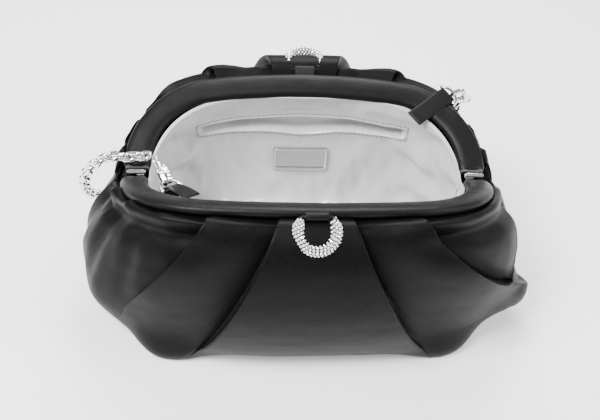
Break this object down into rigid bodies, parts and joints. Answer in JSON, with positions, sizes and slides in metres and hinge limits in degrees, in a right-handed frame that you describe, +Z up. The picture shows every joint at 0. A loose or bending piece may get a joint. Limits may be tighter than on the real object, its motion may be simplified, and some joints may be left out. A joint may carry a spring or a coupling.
{
  "type": "evening bag",
  "caption": "Soft pleated frame clutch, standing open: padded hinged frame, paved horseshoe rings, pale lining with a slit pocket, and a detachable chain.",
  "frame": {"origin": "middle of the footprint of the bag without its chain, on the surface it stands on", "axes": "+X along the hinge line towards the bag's right as seen from the front, +Y from the front half to the rear half, +Z up"},
  "size_m": [0.2924, 0.1904, 0.1208],
  "materials": {
    "black_satin": "soft satin",
    "silver_satin": "satin lining",
    "foam": "matte",
    "board": "matte fibre board",
    "bar_steel": "brushed",
    "silver_plate": "polished",
    "nameplate_metal": "satin with a polished border",
    "magnet_plate": "nickel",
    "crystal": "cut crystal"
  },
  "bodies": {
    "bag": {"satin_shell": "black_satin", "lining": "silver_satin", "base_board": "board", "pocket_welt": "silver_satin", "pocket_bag": "silver_satin", "nameplate": "nameplate_metal", "nameplate_backing": "bar_steel", "hinge_pin_left": "silver_plate", "hinge_pin_right": "silver_plate", "chain": "silver_plate"},
    "front_half": {"front_bar": "bar_steel", "front_padding": "foam", "front_cover": "black_satin", "front_knuckle_left": "silver_plate", "front_knuckle_right": "silver_plate", "front_rivets": "bar_steel", "front_magnet": "magnet_plate", "front_ring_tab": "black_satin", "strap_tab_left": "black_satin"},
    "rear_half": {"rear_bar": "bar_steel", "rear_padding": "foam", "rear_cover": "black_satin", "rear_knuckle_left": "silver_plate", "rear_knuckle_right": "silver_plate", "rear_rivets": "bar_steel", "rear_magnet": "magnet_plate", "rear_ring_tab": "black_satin", "strap_tab_right": "black_satin"},
    "front_pave_ring": {"front_ring": "silver_plate", "front_ring_stones": "crystal"},
    "rear_pave_ring": {"rear_ring": "silver_plate", "rear_ring_stones": "crystal"},
    "left_dring": {"strap_dring_left": "silver_plate"},
    "left_claw": {"clasp_left": "silver_plate", "clasp_rivet_left": "silver_plate"},
    "left_gate": {"clasp_gate_left": "silver_plate"},
    "left_swivel": {"clasp_eye_left": "silver_plate"},
    "right_dring": {"strap_dring_right": "silver_plate"},
    "right_claw": {"clasp_right": "silver_plate", "clasp_rivet_right": "silver_plate"},
    "right_gate": {"clasp_gate_right": "silver_plate"},
    "right_swivel": {"clasp_eye_right": "silver_plate"}
  },
  "joints": [
    {"name": "front_half_hinge", "type": "hinge", "parent": "bag", "child": "front_half", "pos_m": [0, 0, 0.084], "axis": [-1, 0, 0], "range_deg": [0, 64], "deforming": ["satin_shell", "lining", "chain"]},
    {"name": "rear_half_hinge", "type": "hinge", "parent": "bag", "child": "rear_half", "pos_m": [0, 0, 0.084], "axis": [1, 0, 0], "range_deg": [0, 64], "deforming": ["satin_shell", "lining", "chain"]},
    {"name": "front_ring_swing", "type": "hinge", "parent": "front_half", "child": "front_pave_ring", "pos_m": [0, -0.07163, 0.11393], "axis": [-1, 0, 0], "range_deg": [0, 68]},
    {"name": "rear_ring_swing", "type": "hinge", "parent": "rear_half", "child": "rear_pave_ring", "pos_m": [0, 0.07253, 0.11437], "axis": [1, 0, 0], "range_deg": [-8, 16]},
    {"name": "left_dring_swing", "type": "hinge", "parent": "front_half", "child": "left_dring", "pos_m": [-0.082, -0.02721, 0.09438], "axis": [-0.7405, -0.6275, 0.2406], "range_deg": [-8, 10]},
    {"name": "left_claw_swing", "type": "hinge", "parent": "left_dring", "child": "left_claw", "pos_m": [-0.08581, -0.02088, 0.09487], "axis": [-0.8202, -0.5135, 0.2522], "range_deg": [-6, 6]},
    {"name": "left_gate_lever", "type": "hinge", "parent": "left_claw", "child": "left_gate", "pos_m": [-0.08773, -0.01529, 0.10002], "axis": [0.8202, 0.5135, -0.2522], "range_deg": [0, 14], "stiffness_Nm_per_rad": 0.002, "springref_deg": -8.59},
    {"name": "left_swivel_turn", "type": "hinge", "parent": "left_claw", "child": "left_swivel", "pos_m": [-0.09109, -0.01083, 0.09817], "axis": [-0.4695, 0.856, 0.2164], "range_deg": [-60, 60]},
    {"name": "right_dring_swing", "type": "hinge", "parent": "rear_half", "child": "right_dring", "pos_m": [0.0942, 0.05413, 0.10784], "axis": [-0.616, 0.708, 0.3453], "range_deg": [-8, 10]},
    {"name": "right_claw_swing", "type": "hinge", "parent": "right_dring", "child": "right_claw", "pos_m": [0.10086, 0.05711, 0.10663], "axis": [-0.3414, 0.8877, 0.309], "range_deg": [-6, 6]},
    {"name": "right_gate_lever", "type": "hinge", "parent": "right_claw", "child": "right_gate", "pos_m": [0.10795, 0.06025, 0.10546], "axis": [0.3414, -0.8877, -0.309], "range_deg": [0, 14], "stiffness_Nm_per_rad": 0.002, "springref_deg": -8.59},
    {"name": "right_swivel_turn", "type": "hinge", "parent": "right_claw", "child": "right_swivel", "pos_m": [0.10915, 0.06255, 0.10018], "axis": [0.6568, 0.4605, -0.5972], "range_deg": [-60, 60]}
  ],
  "couplings": [
    {"joint": "rear_half_hinge", "follows": "front_half_hinge", "ratio": 1}
  ]
}
